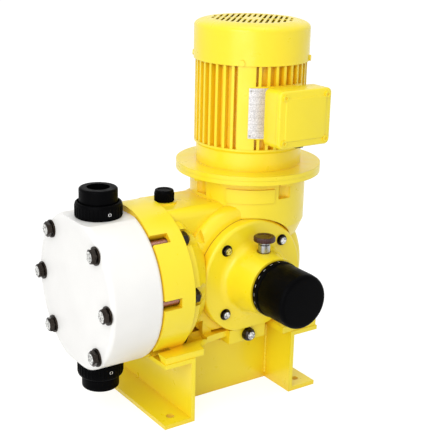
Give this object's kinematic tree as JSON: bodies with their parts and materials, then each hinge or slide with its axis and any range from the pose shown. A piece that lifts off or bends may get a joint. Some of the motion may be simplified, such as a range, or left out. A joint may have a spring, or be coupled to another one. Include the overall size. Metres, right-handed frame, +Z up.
{
  "type": "diaphragm metering pump",
  "caption": "Motor-driven diaphragm metering pump on a sheet stand: round white pump head with ball valves, worm gear housing, stroke knob and vertical finned motor.",
  "frame": {"origin": "centre of the four anchor holes in the stand's feet, on the floor plane", "axes": "+Z up along the motor, -X towards the pump head, -Y towards the stroke knob"},
  "size_m": [0.3805, 0.2893, 0.512],
  "materials": {
    "yellow_paint": "gloss",
    "white_plastic": "satin",
    "black_plastic": "satin",
    "lock_plastic": "satin",
    "stainless": "machined",
    "machined_steel": "ground",
    "plated_steel": "polished",
    "bronze": "machined",
    "brass": "machined",
    "copper": "lacquered",
    "laminated_steel": "matte",
    "aluminium": "satin",
    "gasket": "matte",
    "diaphragm_ptfe": "matte"
  },
  "bodies": {
    "base": {"stand_frame": "yellow_paint", "stand_bolts": "stainless", "gear_housing": "yellow_paint", "gear_cover": "yellow_paint", "gear_cover_gasket": "gasket", "gear_cover_screws": "stainless", "rear_cover": "yellow_paint", "rear_cover_gasket": "gasket", "rear_cover_screws": "stainless", "coupling_door": "yellow_paint", "oil_cap": "black_plastic", "drain_plug": "plated_steel", "sleeve_retainer": "machined_steel", "worm_bearings": "machined_steel", "crank_bearings": "machined_steel", "guide_bush": "bronze", "diaphragm_rim": "diaphragm_ptfe", "pump_head": "white_plastic", "head_bolts": "stainless", "head_washers": "stainless", "head_nuts": "stainless", "discharge_port": "black_plastic", "discharge_union_nut": "black_plastic", "discharge_seat": "white_plastic", "discharge_cage": "white_plastic", "suction_port": "black_plastic", "suction_union_nut": "black_plastic", "suction_seat": "white_plastic", "suction_cage": "white_plastic", "drive_end_shield": "yellow_paint", "flange_bolts": "stainless", "motor_frame": "yellow_paint", "stator_core": "laminated_steel", "stator_windings": "copper", "motor_bearings": "machined_steel", "rear_shield": "yellow_paint", "fan_cowl": "yellow_paint", "cowl_screws": "stainless", "nameplate": "aluminium", "terminal_box": "yellow_paint", "terminal_box_lid": "yellow_paint", "lid_screws": "stainless", "terminal_block": "black_plastic", "entry_plug": "black_plastic"},
    "drive_shaft": {"motor_shaft": "machined_steel", "rotor_core": "laminated_steel", "cooling_fan": "black_plastic", "shaft_coupling": "machined_steel", "worm_shaft": "machined_steel"},
    "crank": {"worm_wheel": "bronze", "crank_shaft": "machined_steel"},
    "plunger_unit": {"plunger": "machined_steel", "backing_disc": "aluminium", "diaphragm": "diaphragm_ptfe"},
    "knob_unit": {"stroke_knob": "black_plastic", "adjuster_sleeve": "brass"},
    "spindle": {"adjuster_spindle": "machined_steel"},
    "lock": {"stroke_lock": "lock_plastic"},
    "suction_valve_ball": {"suction_ball": "plated_steel"},
    "discharge_valve_ball": {"discharge_ball": "plated_steel"}
  },
  "joints": [
    {"name": "motor_spin", "type": "hinge", "parent": "base", "child": "drive_shaft", "pos_m": [0.068, 0, 0.3], "axis": [0, 0, 1], "continuous": true},
    {"name": "crank_spin", "type": "hinge", "parent": "base", "child": "crank", "pos_m": [0.028, 0, 0.176], "axis": [0, 1, 0], "continuous": true},
    {"name": "plunger_stroke", "type": "slide", "parent": "base", "child": "plunger_unit", "axis": [1, 0, 0], "range_m": [-0.005, 0.005]},
    {"name": "knob_turn", "type": "hinge", "parent": "base", "child": "knob_unit", "pos_m": [0.028, -0.12, 0.176], "axis": [0, -1, 0], "range_deg": [0, 330]},
    {"name": "spindle_travel", "type": "slide", "parent": "base", "child": "spindle", "axis": [0, -1, 0], "range_m": [0, 0.005]},
    {"name": "lock_turn", "type": "hinge", "parent": "base", "child": "lock", "pos_m": [0.028, -0.097, 0.22], "axis": [0, 0, 1], "range_deg": [0, 180]},
    {"name": "suction_ball_lift", "type": "slide", "parent": "base", "child": "suction_valve_ball", "axis": [0, 0, 1], "range_m": [0, 0.004]},
    {"name": "discharge_ball_lift", "type": "slide", "parent": "base", "child": "discharge_valve_ball", "axis": [0, 0, 1], "range_m": [0, 0.004]}
  ],
  "couplings": [
    {"joint": "crank_spin", "follows": "motor_spin", "ratio": 0.033333},
    {"joint": "spindle_travel", "follows": "knob_turn", "m_per_rad": 0.00086725}
  ]
}
